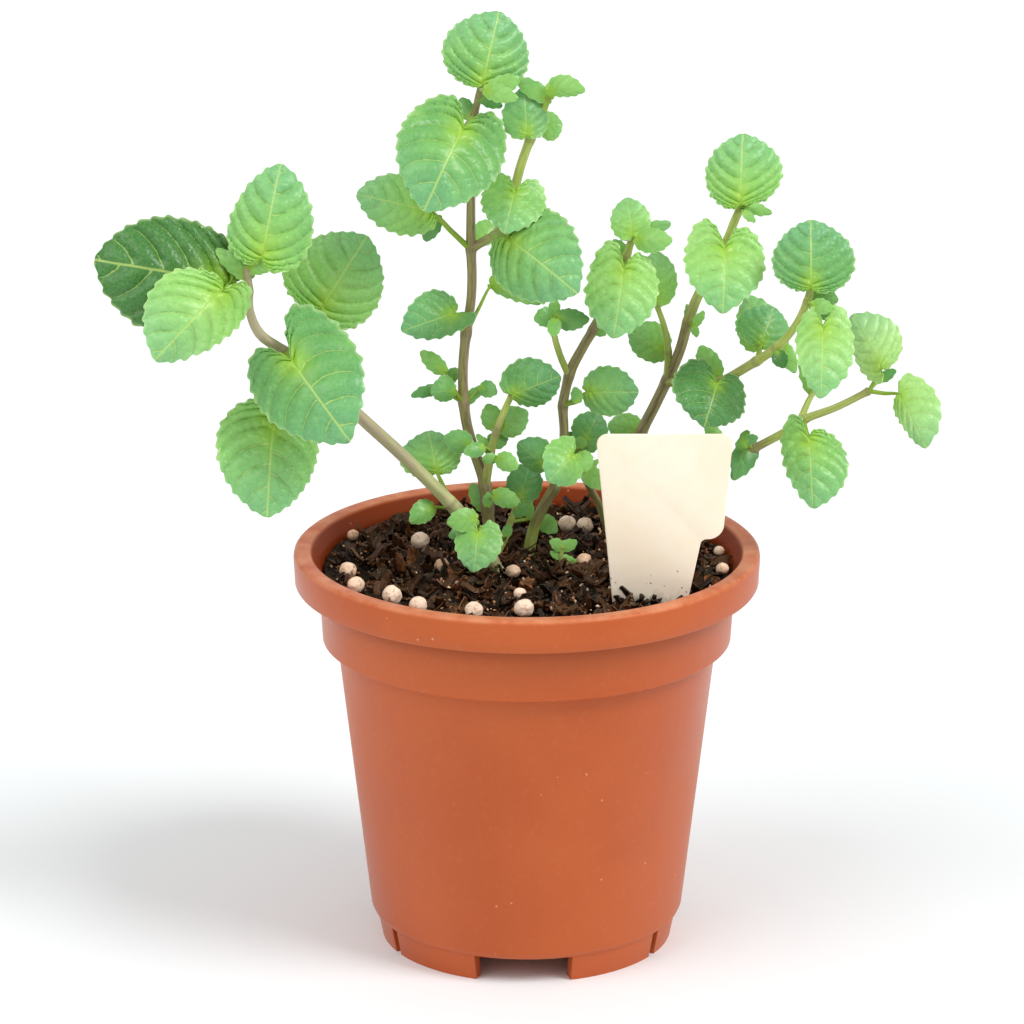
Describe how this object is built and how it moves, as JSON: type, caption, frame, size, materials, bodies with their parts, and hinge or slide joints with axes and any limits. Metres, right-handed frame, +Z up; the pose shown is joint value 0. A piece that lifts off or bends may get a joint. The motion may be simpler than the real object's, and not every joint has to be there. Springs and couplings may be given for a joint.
{
  "type": "potted herb plant",
  "caption": "Leafy herb with branching square stems and round toothed leaves, growing in a tapered nursery pot of potting mix with a blank flag-shaped plant label.",
  "frame": {"origin": "on the pot's axis, at the level of the surface that the pot's feet stand on; the whole object's outer box is centred on it to within a millimetre", "axes": "+Z up along the pot's axis, the label faces -Y, +X to the right as seen from the label's side"},
  "size_m": [0.2127, 0.12, 0.2438],
  "materials": {
    "pot_plastic": "satin",
    "potting_mix": "rough",
    "label_card": "matte",
    "foliage": "satin",
    "young_foliage": "satin"
  },
  "bodies": {
    "root": {"pot": "pot_plastic", "potting_mix": "potting_mix", "plant_label": "label_card", "left_stem": "foliage", "centre_stem": "foliage", "middle_stem": "foliage", "behind_stem": "foliage", "right_stem": "foliage", "low_stem": "foliage", "seedling": "young_foliage"}
  },
  "joints": []
}
